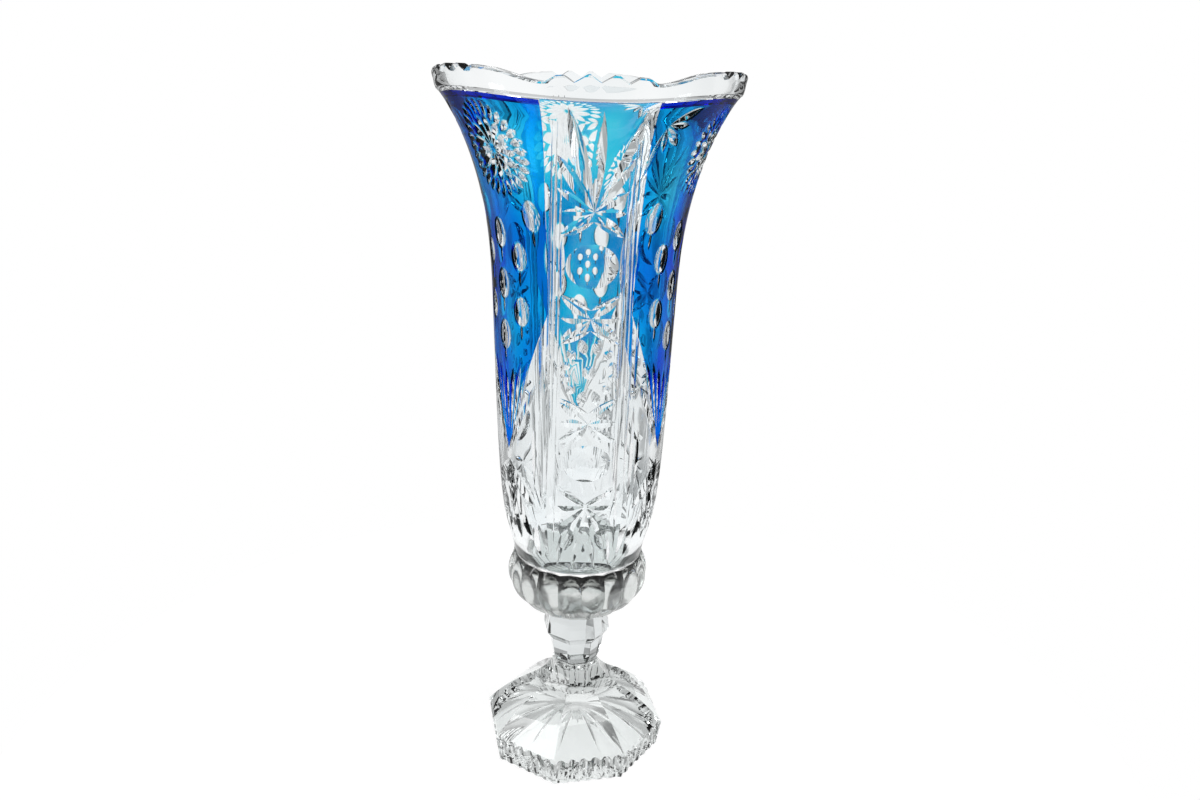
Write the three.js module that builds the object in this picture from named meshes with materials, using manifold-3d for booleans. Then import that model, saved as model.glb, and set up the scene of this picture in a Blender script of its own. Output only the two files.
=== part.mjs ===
// Footed vase of cut lead crystal, cased in blue: a flared bowl with three fused blue casings, a fluted cup,
// an eight-sided stem and an eight-sided foot, bonded one on top of the other.
//
// Millimetres, +Z up. The origin is the centre of the foot's underside. The middle of one clear panel of the
// bowl faces -Y. Angles are in degrees, measured from -Y towards +X. Nothing on the vase moves.

import * as THREE from "three";
import { mergeVertices } from "three/addons/utils/BufferGeometryUtils.js";
import Module from "manifold-3d";

const wasm = await Module();
wasm.setup();

// Heights of the stack
const HEIGHT = 350; // tip of the highest rim tooth
const LEDGE_Z = 337; // where the clear rim band begins, over a clear panel
const BOWL_BOTTOM_Z = 92;
const CUP_LIP_Z = 113.4;
const CUP_BOTTOM_Z = 81;
const STEM_TOP_Z = 80;
const STEM_BOTTOM_Z = 49.5;
const FOOT_TOP_Z = 48.5;

// Joints between the bonded pieces
const GAP = 0.3; // clearance between two pieces that touch
const FILM = 0.4; // thickness of a bonding film

// Bowl: its outer radius is a slow taper, with a tuck at the bottom and a flare at the top
const BODY_RADIUS = 40;
const BODY_TAPER = 0.033; // radius gained for each millimetre of height
const TUCK_Z = 120;
const TUCK_DEPTH = 5.7;
const TUCK_LENGTH = 18;
const FLARE_Z = 240;
const FLARE_DEPTH = 21;
const NECK_RADIUS = 33; // groove between the bowl and the cup
const NECK_Z = 114;
const SEAT_RADIUS = 25; // bottom of the bowl, inside the cup
const WALL = 6;
const RIM_WALL = 4.2;
const RIM_RADIUS = 71;
const RIM_STEP = 0.8; // the rim band stands this far proud of the flare
const CAVITY_Z = 96.5;
const CAVITY_RADIUS = 16.5;
const CAVITY_SHOULDER_Z = 127;
const CAVITY_SHOULDER_RADIUS = 29.5;

// Rim: one group of teeth over each clear panel and over each blue casing
const SEGMENTS = 78; // 13 in each sixth of the circle, eight of them half a tooth wide
const STEP = 360 / SEGMENTS;
const TEETH_HALF = 4; // half of a group, in steps
const TOOTH = 3.2; // depth of a tooth
const CLEAR_LOBE_Z = 346.6; // outline over a clear panel
const LOW_LOBE_Z = 343.6; // lowest point of the outline, beside the teeth over a clear panel
const LEDGE_RISE = 3.5; // the ledge climbs this far over a blue casing

// Blue casings
const CASINGS = { right: 60, back: 180, left: 300 }; // middle of each casing
const CASING_HALF = 34.5; // half of a casing, in degrees, below the flare
const CASING_SPREAD = 4; // degrees gained on each side by the top of the flare
const SPREAD_Z = 285; // where the casing begins to spread
const CASING_COLUMNS = 14;
const CASING = 1; // thickness
const CASING_DROP = 1.6; // from the ledge down to the blue
const SHOULDER_Z = 245; // where the blue starts to narrow to its point
const POINT_Z = 175;
const CASING_ROWS = 10;

// Olive cuts through a casing, a bunch of nine: [angle from the casing's middle, height]
const OLIVES = [
  [-26, 287.5], [26, 287.5], [0, 278.5], [-15.5, 269], [15.5, 269],
  [0, 255.5], [-16, 244], [16, 244], [0, 231.5],
];
const OLIVE_WIDTH = 9.6;
const OLIVE_HEIGHT = 15.4;

// Cup
const CUP_RADIUS = 36.3;
const CUP_MIDDLE_Z = 101;
const CUP_HALF_HEIGHT = 24;
const CUP_LIP_RADIUS = 33.2;
const CUP_FLUTES = 18;
const CUP_FLUTE_DEPTH = 1.3;
const CUP_FLOOR_RADIUS = 16;

// Stem and foot, both eight-sided and turned together
const SIDES = 8;
const FOOT_TURN = 7; // from the bowl's clear panel to the middle of a flat
const FOOT_RADIUS = 46; // corner radius of the underside
const FOOT_EDGE_RADIUS = 48.5; // corner radius of the top of the side
const FOOT_SIDE_Z = 14;
const FOOT_HOLLOW = 12; // depth of the hollow under the foot
const FOOT_HOLLOW_RADIUS = 37;
const FOOT_FLUTES = 6; // on each side
const FOOT_FLUTE_DEPTH = 1;

// Outlines as [corner radius, height], from the bottom up
const STEM_OUTLINE = [
  [11.5, STEM_BOTTOM_Z], [13.2, 53], [14.4, 60], [14.6, 64.3],
  [17.8, 67.2], [17.4, 71.5], [15.6, STEM_TOP_Z],
];
const FOOT_OUTLINE = [
  [FOOT_RADIUS, 0], [FOOT_EDGE_RADIUS, FOOT_SIDE_Z], [46, 17], [38, 24.5],
  [29, 31], [21, 36], [16, 40.5], [13, 45], [12, FOOT_TOP_Z],
];

const toRadians = THREE.MathUtils.degToRad;

// ---- geometry helpers ----

// A solid of revolution about +Z from [radius, height] points that start and end on the axis.
function turned(profile, segments) {
  const points = profile.map(([radius, z]) => new THREE.Vector2(radius, z));
  return new THREE.LatheGeometry(points, segments).rotateX(Math.PI / 2);
}

// Moves every vertex: change(angle, radius, z) gives its new [radius, z].
function reshape(geometry, change) {
  const position = geometry.getAttribute("position");
  for (let i = 0; i < position.count; i++) {
    const radius = Math.hypot(position.getX(i), position.getY(i));
    const angle = THREE.MathUtils.radToDeg(Math.atan2(position.getX(i), -position.getY(i)));
    const [newRadius, newZ] = change(angle, radius, position.getZ(i));
    const k = radius > 0 ? newRadius / radius : 1;
    position.setXYZ(i, position.getX(i) * k, position.getY(i) * k, newZ);
  }
  return geometry;
}

function solid(geometry) {
  const plain = geometry.clone();
  plain.deleteAttribute("normal");
  plain.deleteAttribute("uv");
  const merged = mergeVertices(plain, 1e-3);
  const vertProperties = merged.getAttribute("position").array;
  const triVerts = new Uint32Array(merged.index.array);
  return new wasm.Manifold(new wasm.Mesh({ numProp: 3, vertProperties, triVerts }));
}

function geometryOf(manifold) {
  const { vertProperties, triVerts } = manifold.getMesh();
  const geometry = new THREE.BufferGeometry();
  geometry.setAttribute("position", new THREE.BufferAttribute(vertProperties, 3));
  geometry.setIndex(new THREE.BufferAttribute(triVerts, 1));
  geometry.computeVertexNormals();
  return geometry;
}

function piece(name, geometry, material) {
  const mesh = new THREE.Mesh(geometry, material.clone());
  mesh.name = name;
  return mesh;
}

// ---- shapes shared by the bowl and its casings ----

function bodyRadius(z) {
  const flare = Math.max(0, (z - FLARE_Z) / (LEDGE_Z - FLARE_Z)) ** 3;
  const tuck = Math.exp((TUCK_Z - z) / TUCK_LENGTH);
  return BODY_RADIUS + BODY_TAPER * (z - TUCK_Z) - TUCK_DEPTH * tuck + FLARE_DEPTH * flare;
}

// Heights at which the body is sampled, closer together where its outline bends.
function bodyRows() {
  const rows = [];
  let z = TUCK_Z;
  while (z < LEDGE_Z - 5) {
    rows.push(z);
    const isStraight = z > TUCK_Z + TUCK_LENGTH && z < FLARE_Z + 10;
    z += isStraight ? 28 : 10;
  }
  return rows;
}

// 0 over the middle of a clear panel, 1 over the middle of a casing.
function casingWave(angle) {
  return 0.5 - 0.5 * Math.cos(toRadians(3 * angle));
}

function ledgeZ(angle) {
  return LEDGE_Z + LEDGE_RISE * casingWave(angle);
}

// The rim's outline: lobes over the panels, and V teeth in the middle of each lobe.
function rimZ(angle) {
  const sixth = 60 * Math.round(angle / 60);
  const steps = Math.round(Math.abs(angle - sixth) / STEP);
  const isCasing = Math.round(sixth / 60) % 2 !== 0;
  const lobe = isCasing ? HEIGHT : CLEAR_LOBE_Z;
  if (steps > TEETH_HALF) {
    const t = casingWave(angle);
    return LOW_LOBE_Z + (HEIGHT - 1.5 - LOW_LOBE_Z) * THREE.MathUtils.smoothstep(t, 0.2, 0.75);
  }
  const edge = isCasing ? HEIGHT - 1.5 : LOW_LOBE_Z;
  const isValley = steps % 2 === 0;
  const crown = 1 - (steps / TEETH_HALF) ** 2;
  if (isValley) return steps === TEETH_HALF ? edge : lobe - TOOTH - 0.6 * (1 - crown);
  return lobe - 1.2 * (1 - crown);
}

// ---- pieces ----

// The bowl's outline, from the axis under the seat, up the outside, over the rim and down the inside.
function bowlProfile() {
  const rows = bodyRows();
  const outside = rows.map((z) => [bodyRadius(z), z]);
  const inside = rows
    .filter((z) => z > CAVITY_SHOULDER_Z + 10)
    .reverse()
    .map((z) => [bodyRadius(z) - WALL, z]);
  const ledge = bodyRadius(LEDGE_Z);
  return [
    [0, BOWL_BOTTOM_Z],
    [SEAT_RADIUS, BOWL_BOTTOM_Z],
    [NECK_RADIUS - 0.6, NECK_Z - 0.8],
    [NECK_RADIUS, NECK_Z],
    ...outside,
    [ledge, LEDGE_Z],
    [ledge + RIM_STEP, LEDGE_Z + 1],
    [RIM_RADIUS, HEIGHT],
    [RIM_RADIUS - RIM_WALL, HEIGHT],
    [ledge - RIM_WALL - 1, LEDGE_Z],
    ...inside,
    [CAVITY_SHOULDER_RADIUS, CAVITY_SHOULDER_Z],
    [CAVITY_RADIUS + 2, CAVITY_Z + 2],
    [CAVITY_RADIUS, CAVITY_Z],
    [0, CAVITY_Z],
  ];
}

// Half of a casing at a height, in degrees.
function casingHalf(z) {
  return CASING_HALF + CASING_SPREAD * THREE.MathUtils.smoothstep(z, SPREAD_Z, LEDGE_Z);
}

// A casing, or with a clearance the recess that it lies in.
function casingSolid(middle, clearance) {
  const sideways = THREE.MathUtils.radToDeg(clearance / BODY_RADIUS);
  const halfAt = (z) => casingHalf(z) + sideways;
  const columns = CASING_COLUMNS;
  const outer = clearance > 0 ? 3 : 0;
  const inner = CASING + clearance;
  const positions = [];
  const index = [];
  for (let column = 0; column <= columns; column++) {
    const across = (2 * column) / columns - 1;
    const top = ledgeZ(middle + across * halfAt(LEDGE_Z)) - CASING_DROP + clearance;
    const bottom = POINT_Z + (SHOULDER_Z - POINT_Z) * Math.abs(across) - clearance * 2;
    for (let row = 0; row <= CASING_ROWS; row++) {
      const z = bottom + ((top - bottom) * row) / CASING_ROWS;
      const angle = toRadians(middle + across * halfAt(z));
      for (const depth of [-outer, inner]) {
        const radius = bodyRadius(z) - depth;
        positions.push(radius * Math.sin(angle), -radius * Math.cos(angle), z);
      }
    }
  }
  const at = (column, row, side) => 2 * (column * (CASING_ROWS + 1) + row) + side;
  const quad = (a, b, c, d) => index.push(a, b, c, a, c, d);
  for (let column = 0; column < columns; column++) {
    for (let row = 0; row < CASING_ROWS; row++) {
      const corners = [[column, row], [column + 1, row], [column + 1, row + 1], [column, row + 1]];
      quad(...corners.map(([c, r]) => at(c, r, 0)));
      quad(...corners.reverse().map(([c, r]) => at(c, r, 1)));
    }
    quad(at(column, 0, 1), at(column + 1, 0, 1), at(column + 1, 0, 0), at(column, 0, 0));
    const end = CASING_ROWS;
    quad(at(column, end, 0), at(column + 1, end, 0), at(column + 1, end, 1), at(column, end, 1));
  }
  for (let row = 0; row < CASING_ROWS; row++) {
    quad(at(0, row, 1), at(0, row, 0), at(0, row + 1, 0), at(0, row + 1, 1));
    quad(at(columns, row, 0), at(columns, row, 1), at(columns, row + 1, 1), at(columns, row + 1, 0));
  }
  const geometry = new THREE.BufferGeometry();
  geometry.setAttribute("position", new THREE.Float32BufferAttribute(positions, 3));
  geometry.setIndex(index);
  return solid(geometry);
}

// A pointed oval that reaches through the casing at an angle and a height.
function oliveSolid(angle, z) {
  const outline = new THREE.Shape();
  outline.moveTo(0, -OLIVE_HEIGHT / 2);
  outline.quadraticCurveTo(OLIVE_WIDTH, 0, 0, OLIVE_HEIGHT / 2);
  outline.quadraticCurveTo(-OLIVE_WIDTH, 0, 0, -OLIVE_HEIGHT / 2);
  const cutter = new THREE.ExtrudeGeometry(outline, { depth: 16, bevelEnabled: false, curveSegments: 4 });
  cutter.rotateX(Math.PI / 2);
  cutter.translate(0, -bodyRadius(z) + 8, z);
  cutter.rotateZ(toRadians(angle));
  return solid(cutter);
}

function bowl(material) {
  const blended = (angle, z) => LEDGE_RISE * casingWave(angle) * THREE.MathUtils.smoothstep(z, 290, LEDGE_Z);
  const geometry = reshape(turned(bowlProfile(), SEGMENTS), (angle, radius, z) => {
    if (z > HEIGHT - 1) return [radius, rimZ(angle)];
    return [radius, z + blended(angle, z)];
  });
  let body = solid(geometry);
  for (const middle of Object.values(CASINGS)) body = body.subtract(casingSolid(middle, GAP));
  return piece("bowl", geometryOf(body), material);
}

function casing(side, material) {
  const middle = CASINGS[side];
  let shell = casingSolid(middle, 0);
  for (const [angle, z] of OLIVES) shell = shell.subtract(oliveSolid(middle + angle, z));
  return piece(`blue_casing_${side}`, geometryOf(shell), material);
}

function cup(material) {
  const outside = [];
  const rows = 9;
  const lipZ = CUP_LIP_Z;
  for (let row = 0; row <= rows; row++) {
    const z = CUP_BOTTOM_Z + ((lipZ - CUP_BOTTOM_Z) * (1 - Math.cos((Math.PI * row) / rows))) / 2;
    const across = Math.sqrt(1 - ((z - CUP_MIDDLE_Z) / CUP_HALF_HEIGHT) ** 2);
    outside.push([Math.max(CUP_RADIUS * across, CUP_FLOOR_RADIUS), z]);
  }
  outside[rows][0] = CUP_LIP_RADIUS;
  const seatZ = BOWL_BOTTOM_Z - 2 * GAP - FILM;
  const profile = [
    [0, CUP_BOTTOM_Z],
    [CUP_FLOOR_RADIUS, CUP_BOTTOM_Z],
    ...outside.slice(1),
    [NECK_RADIUS - 0.2, lipZ],
    [SEAT_RADIUS + 0.2, seatZ],
    [0, seatZ],
  ];
  const middle = (CUP_BOTTOM_Z + lipZ) / 2;
  const geometry = reshape(turned(profile, CUP_FLUTES * 4), (angle, radius, z) => {
    const isOutside = radius > CUP_FLOOR_RADIUS + 1 && z > CUP_BOTTOM_Z + 1 && z < lipZ - 1;
    if (!isOutside || radius < SEAT_RADIUS + 1) return [radius, z];
    const fade = 1 - ((z - middle) / (lipZ - middle)) ** 2;
    const flute = Math.abs(Math.sin(toRadians((CUP_FLUTES * angle) / 2)));
    return [radius - CUP_FLUTE_DEPTH * fade * (1 - flute), z];
  });
  return piece("fluted_cup", geometry, material);
}

function stem(material) {
  const geometry = turned([[0, STEM_BOTTOM_Z], ...STEM_OUTLINE, [0, STEM_TOP_Z]], SIDES);
  return piece("stem", geometry.rotateZ(toRadians(FOOT_TURN + 180 / SIDES)), material);
}

function footFlutes() {
  const apothem = FOOT_RADIUS * Math.cos(Math.PI / SIDES);
  const lean = (FOOT_EDGE_RADIUS - FOOT_RADIUS) / FOOT_SIDE_Z;
  const pitch = (2 * FOOT_RADIUS * Math.sin(Math.PI / SIDES)) / FOOT_FLUTES;
  const radius = pitch * 0.52;
  const cutters = [];
  for (let side = 0; side < SIDES; side++) {
    for (let flute = 0; flute < FOOT_FLUTES; flute++) {
      const rod = new THREE.CylinderGeometry(radius, radius, FOOT_SIDE_Z * 3, 10);
      rod.rotateX(Math.PI / 2 + Math.atan(lean * Math.cos(Math.PI / SIDES)));
      rod.translate((flute + 0.5 - FOOT_FLUTES / 2) * pitch, -apothem - radius + FOOT_FLUTE_DEPTH, 0);
      rod.rotateZ(toRadians(FOOT_TURN + (360 / SIDES) * side));
      cutters.push(solid(rod));
    }
  }
  return cutters;
}

function foot(material) {
  const hollow = [0, 0.3, 0.65, 1].map((share) => [
    FOOT_HOLLOW_RADIUS * share,
    FOOT_HOLLOW * (1 - share ** 1.6),
  ]);
  const geometry = turned([...hollow, ...FOOT_OUTLINE, [0, FOOT_TOP_Z]], SIDES);
  geometry.rotateZ(toRadians(FOOT_TURN + 180 / SIDES));
  let body = solid(geometry);
  for (const flute of footFlutes()) body = body.subtract(flute);
  return piece("foot", geometryOf(body), material);
}

// A thin clear disc of cured adhesive between two pieces.
function film(name, radius, topZ, segments, material) {
  const high = topZ - GAP;
  const low = high - FILM;
  const disc = turned([[0, low], [radius, low], [radius, high], [0, high]], segments);
  return piece(name, disc.rotateZ(toRadians(FOOT_TURN + 180 / SIDES)), material);
}

// ---- materials ----

const crystal = new THREE.MeshStandardMaterial({ color: 0xe6efec, roughness: 0.04, metalness: 0 });
const blueGlass = new THREE.MeshStandardMaterial({ color: 0x0b5fd0, roughness: 0.05, metalness: 0 });
const adhesive = new THREE.MeshStandardMaterial({ color: 0xdfe6dc, roughness: 0.2, metalness: 0 });

// ---- assembly ----

const vase = new THREE.Group();
vase.add(
  foot(crystal),
  film("foot_bond", 11, STEM_BOTTOM_Z, SIDES, adhesive),
  stem(crystal),
  film("stem_bond", 15, CUP_BOTTOM_Z, SIDES, adhesive),
  cup(crystal),
  film("bowl_bond", SEAT_RADIUS - 1, BOWL_BOTTOM_Z, 24, adhesive),
  bowl(crystal),
  casing("left", blueGlass),
  casing("right", blueGlass),
  casing("back", blueGlass),
);

export default vase;
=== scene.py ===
import math

import bpy
import numpy as np
from mathutils import Matrix, Vector


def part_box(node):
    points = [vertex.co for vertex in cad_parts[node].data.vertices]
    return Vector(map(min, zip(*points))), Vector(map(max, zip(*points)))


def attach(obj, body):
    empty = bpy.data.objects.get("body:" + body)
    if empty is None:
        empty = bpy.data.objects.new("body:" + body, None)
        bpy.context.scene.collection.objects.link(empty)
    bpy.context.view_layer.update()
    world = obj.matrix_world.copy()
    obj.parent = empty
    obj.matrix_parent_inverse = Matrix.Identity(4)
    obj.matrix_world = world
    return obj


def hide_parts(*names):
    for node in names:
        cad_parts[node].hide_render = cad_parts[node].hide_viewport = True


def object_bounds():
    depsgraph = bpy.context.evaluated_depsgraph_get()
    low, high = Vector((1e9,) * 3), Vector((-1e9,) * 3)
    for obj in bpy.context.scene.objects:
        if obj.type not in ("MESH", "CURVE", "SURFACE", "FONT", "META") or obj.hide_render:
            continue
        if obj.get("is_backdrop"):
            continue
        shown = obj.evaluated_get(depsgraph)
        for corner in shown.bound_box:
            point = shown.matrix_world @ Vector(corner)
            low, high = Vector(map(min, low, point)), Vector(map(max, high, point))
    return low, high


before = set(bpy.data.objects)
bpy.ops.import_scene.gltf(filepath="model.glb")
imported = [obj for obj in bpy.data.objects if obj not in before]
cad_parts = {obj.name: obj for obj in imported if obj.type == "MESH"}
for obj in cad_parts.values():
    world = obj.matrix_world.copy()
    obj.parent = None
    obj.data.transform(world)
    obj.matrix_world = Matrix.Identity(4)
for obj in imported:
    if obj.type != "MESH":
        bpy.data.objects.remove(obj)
cad_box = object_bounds()

# Footed vase of cut lead crystal with three blue casings. Shapes are worked out in millimetres and turned
# into metres when a mesh is made. Angles are in degrees, measured from -Y towards +X, as in the frame.

MM = 0.001

# ---- heights of the stack, from the frame ----


def heights(node):
    """Lowest and highest point of a CAD node, in millimetres."""
    low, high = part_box(node)
    return low.z / MM, high.z / MM


FOOT_TOP = heights("foot")[1]
STEM_BOTTOM, STEM_TOP = heights("stem")
CUP_BOTTOM, CUP_LIP = heights("fluted_cup")
BOWL_BOTTOM = heights("bowl")[0]
POINT_Z, CASING_TOP = heights("blue_casing_left")

# ---- bowl ----

HEIGHT = 350.0  # rim lobe over a casing
LEDGE_Z = 337.0  # where the clear rim band begins, over a clear panel
LEDGE_RISE = 3.5  # the ledge climbs this far over a casing
BODY_RADIUS = 40.0
BODY_TAPER = 0.033  # radius gained for each millimetre of height
TUCK_Z = 120.0
TUCK_DEPTH = 5.7
TUCK_LENGTH = 18.0
FLARE_Z = 240.0
FLARE_DEPTH = 21.0
COVE = 0.5  # the body turns out this far just below the ledge
COVE_LENGTH = 1.5
NECK_RADIUS = 33.0  # groove between the bowl and the cup
NECK_Z = 114.0
SEAT_RADIUS = 25.0  # bottom of the bowl, inside the cup
WALL = 6.0
LEDGE_WALL = 3.0
RIM_WALL = 5.2
RIM_RADIUS = 71.0
CAVITY_Z = 96.5
CAVITY = [
    (0, CAVITY_Z), (10, CAVITY_Z), (16, 97.3), (19.8, 100), (22.5, 105), (26.2, 115), (29.2, 126)
]
CAVITY_SHOULDER_Z = 137.0  # above this the cavity's wall follows the outside
LIFT_Z = 290.0  # where the outline begins to rise over a casing
SEGMENTS = 216

# ---- rim teeth ----

HALF_TOOTH = 360 / 78  # degrees
GROUP = 4 * HALF_TOOTH  # half a group of teeth
TOOTH = 3.2
CLEAR_LOBE_Z = 346.6  # rim over a clear panel
LOW_LOBE_Z = 343.6  # rim beside the teeth over a clear panel
HIGH_LOBE_Z = 348.5  # rim beside the teeth over a casing
LOBE_CROWN = 1.2  # a group of teeth is this much lower at its ends
NOTCH_SLOPE = 1.62  # half-width of a notch for each millimetre of its depth

# ---- casings ----

CASINGS = {"left": 300, "right": 60, "back": 180}
CLEAR_PANELS = (0, 120, 240)
CASING_HALF = 34.5  # half of a casing, in degrees, below the flare
CASING_SPREAD = 4.0  # degrees gained on each side by the top of the flare
SPREAD_Z = 285.0  # where the casing begins to spread
SHOULDER_Z = 245.0  # where the blue starts to narrow to its point
CASING = 0.5  # thickness
TOP_BAND = 1.1  # the casing is this much thicker in a line under the ledge
BAND_START = 2.4  # the line begins and is full this far below the casing's top
BAND_FULL = 1.8
UNEVEN = 0.2  # its thickness drifts by this much either way
THINNING = 0.12  # it is this much thinner in the flare, which has stretched it
THINNING_Z = (265.0, 305.0)  # where it thins out
FUSED_GAP = 0.04  # keeps the casing's mesh off the bowl's

# ---- cup, stem and foot ----

CUP_RADIUS = 36.3
CUP_MIDDLE_Z = 101.0
CUP_HALF_HEIGHT = 24.0
CUP_LIP_RADIUS = 33.2
CUP_FLOOR_RADIUS = 16.0
CUP_FLUTES = 18
PETAL_DEPTH = 2.0  # depth of the grooves between the cup's petals
SEAT_GAP = 0.46  # from the cup's seat up to the bowl, with room for the bonding film
SIDES = 8
FOOT_TURN = 7.0
FOOT_RADIUS = 46.0  # corner radius of the underside
FOOT_EDGE_RADIUS = 48.5  # corner radius of the top of the side
FOOT_SIDE_Z = 14.0
FOOT_HOLLOW = 12.0
FOOT_HOLLOW_RADIUS = 37.0
FOOT_FLUTES = 6
FOOT_FLUTE_DEPTH = 1.0
STEM_OUTLINE = [
    (11.5, STEM_BOTTOM), (13.2, 53), (14.4, 60), (14.6, 62.8),
    (17.8, 67.2), (17.4, 71.5), (15.6, STEM_TOP),
]
FOOT_OUTLINE = [
    (FOOT_EDGE_RADIUS, FOOT_SIDE_Z), (46, 17), (38, 24.5), (29, 31),
    (21, 36), (16, 40.5), (13, 45), (12, FOOT_TOP),
]

# ---- cuts ----

OVERSHOOT = 1.2  # cutters stand this far out of the surface that they cut
OLIVES = [
    (-26, 287.5), (26, 287.5), (0, 278.5), (-15.5, 269), (15.5, 269),
    (0, 255.5), (-16, 244), (16, 244), (0, 231.5),
]
POINT_FAN_Z = 175  # where the rays over a casing's point meet

# Material slots of a glass mesh
GLASS = 0
FUSED = 1


# ---- mesh helpers ----


def smoothstep(value, low, high):
    t = np.clip((value - low) / (high - low), 0, 1)
    return t * t * (3 - 2 * t)


def mesh_object(name, points, faces, slots=None):
    """A mesh object from points in millimetres; slots gives each face's material slot."""
    mesh = bpy.data.meshes.new(name)
    mesh.from_pydata((np.asarray(points, float) * MM).tolist(), [], faces)
    made = bpy.data.objects.new(name, mesh)
    bpy.context.scene.collection.objects.link(made)
    for _ in (GLASS, FUSED):
        mesh.materials.append(None)
    if slots is not None:
        mesh.polygons.foreach_set("material_index", np.asarray(slots, np.int32))
    mesh.update()
    return made


def smooth_line(points, steps):
    """A Catmull-Rom curve through points, with steps segments between each two."""
    knots = np.array([points[0], *points, points[-1]], float)
    line = []
    for a, b, c, d in zip(knots, knots[1:], knots[2:], knots[3:]):
        for t in np.arange(steps) / steps:
            square = (2 * a - 5 * b + 4 * c - d) * t**2
            cube = (3 * b - a - 3 * c + d) * t**3
            line.append(0.5 * (2 * b + (c - a) * t + square + cube))
    return [*line, knots[-1]]


def lathe(name, rows, angles, slots):
    """A closed solid from rows of (radius, height) at each angle, the first and last on the axis.
    slots gives the material slot of the strip above each row."""
    turn = np.radians(angles)
    count = len(angles)
    points = [(0, 0, rows[0][1])]
    for radius, z in rows[1:-1]:
        radius = np.broadcast_to(radius, count)
        z = np.broadcast_to(z, count)
        points.extend(np.c_[radius * np.sin(turn), -radius * np.cos(turn), z])
    points.append((0, 0, rows[-1][1]))
    faces = []
    face_slots = []
    last = len(points) - 1
    for row in range(len(rows) - 1):
        low = 1 + (row - 1) * count
        high = low + count
        for i in range(count):
            j = (i + 1) % count
            if row == 0:
                faces.append((0, high + j, high + i))
            elif row == len(rows) - 2:
                faces.append((low + i, low + j, last))
            else:
                faces.append((low + i, low + j, high + j, high + i))
            face_slots.append(slots[row])
    return mesh_object(name, points, faces, face_slots)


def finish_surface(piece, sharp):
    """Smooth shading that keeps every edge sharper than this angle."""
    piece.data.shade_smooth()
    piece.data.set_sharp_from_angle(angle=math.radians(sharp))


# ---- the bowl's surface, where every cut is laid out ----


def body_radius(z):
    flare = FLARE_DEPTH * np.maximum(0, (z - FLARE_Z) / (LEDGE_Z - FLARE_Z)) ** 3
    tuck = TUCK_DEPTH * np.exp((TUCK_Z - z) / TUCK_LENGTH)
    cove = COVE * np.exp(np.minimum(z - LEDGE_Z, 0) / COVE_LENGTH)
    return BODY_RADIUS + BODY_TAPER * (z - TUCK_Z) - tuck + flare + cove


def lift(angle, z):
    """How far the outline is raised over a casing."""
    wave = 0.5 - 0.5 * np.cos(np.radians(3 * angle))
    return LEDGE_RISE * wave * smoothstep(z, LIFT_Z, LEDGE_Z)


def on_body(angle, z, height):
    """The point over an angle and a height on the bowl, `height` millimetres off its surface."""
    radius = body_radius(z)
    slope = body_radius(z + 0.5) - body_radius(z - 0.5)
    out = height / math.hypot(1, slope)
    turn = math.radians(angle)
    reach = radius + out
    return (reach * math.sin(turn), -reach * math.cos(turn), z + lift(angle, z) - slope * out)


def panel(middle):
    """Maps (millimetres across from the middle of a panel, height, distance off the surface) to a point."""

    def place(across, z, height):
        return on_body(middle + math.degrees(across / body_radius(z)), z, height)

    return place


def across_at(angle, z):
    return math.radians(angle) * body_radius(z)


# ---- cutters: (points, faces) ----


def mitre(place, start, end, half_width, depth, skew=0.0, steps=10):
    """A V groove that runs out to a point at both ends. skew moves its widest place towards the end."""
    start, end = np.array(start, float), np.array(end, float)
    along = end - start
    side = np.array([-along[1], along[0]]) / np.hypot(*along)
    over = min(OVERSHOOT, 0.6 * depth)
    reach = math.sqrt(1 + over / depth)
    points = []
    for t in np.linspace(-reach, reach, steps + 1):
        share = (t + 1) / 2
        middle = start + along * (share + 2 * skew * share * (1 - share))
        deep = depth * (1 - t * t)
        wide = half_width / depth * (deep + over)
        if abs(t) == reach:
            points.append(place(*middle, over))
            continue
        points.append(place(*middle, -deep))
        points.append(place(*(middle - side * wide), over))
        points.append(place(*(middle + side * wide), over))
    between = [[3 * i + 1, 3 * i + 2, 3 * i + 3] for i in range(steps - 1)]
    sections = [[0, 0, 0], *between, [len(points) - 1] * 3]
    faces = []
    for a, b in zip(sections, sections[1:]):
        for i in range(3):
            j = (i + 1) % 3
            corners = [a[j], a[i], b[i], b[j]]
            faces.append(tuple(dict.fromkeys(corners)))
    return np.array(points), faces


def hollow(place, centre, half_across, half_up, depth, point=1.0, sides=28, rings=6):
    """A round-bottomed oval cut. point above 1 draws its ends out."""
    around = np.linspace(0, 2 * math.pi, sides, endpoint=False)
    across = half_across * np.cos(around) * np.abs(np.cos(around)) ** (point - 1)
    up = half_up * np.sin(around)
    points = [place(*centre, -depth)]
    for size in np.linspace(0, math.sqrt(1 + OVERSHOOT / depth), rings + 1)[1:]:
        level = depth * (size * size - 1)
        points.extend(place(centre[0] + size * u, centre[1] + size * v, level) for u, v in zip(across, up))
    faces = [(0, 1 + (i + 1) % sides, 1 + i) for i in range(sides)]
    for ring in range(rings - 1):
        low = 1 + ring * sides
        for i in range(sides):
            j = (i + 1) % sides
            faces.append((low + i, low + j, low + sides + j, low + sides + i))
    rim = 1 + (rings - 1) * sides
    points.append(place(*centre, OVERSHOOT))
    faces.extend((rim + i, rim + (i + 1) % sides, len(points) - 1) for i in range(sides))
    return np.array(points), faces


def star(place, centre, ends, half_width, slope=0.55, skew=0.1):
    """Leaf-shaped mitres from a centre to each end: an end is (across, z) or (across, z, half-width)."""
    cutters = []
    for end in ends:
        wide = end[2] if len(end) > 2 else half_width
        cutters.append(mitre(place, centre, end[:2], wide, wide * slope, skew))
    return cutters


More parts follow.
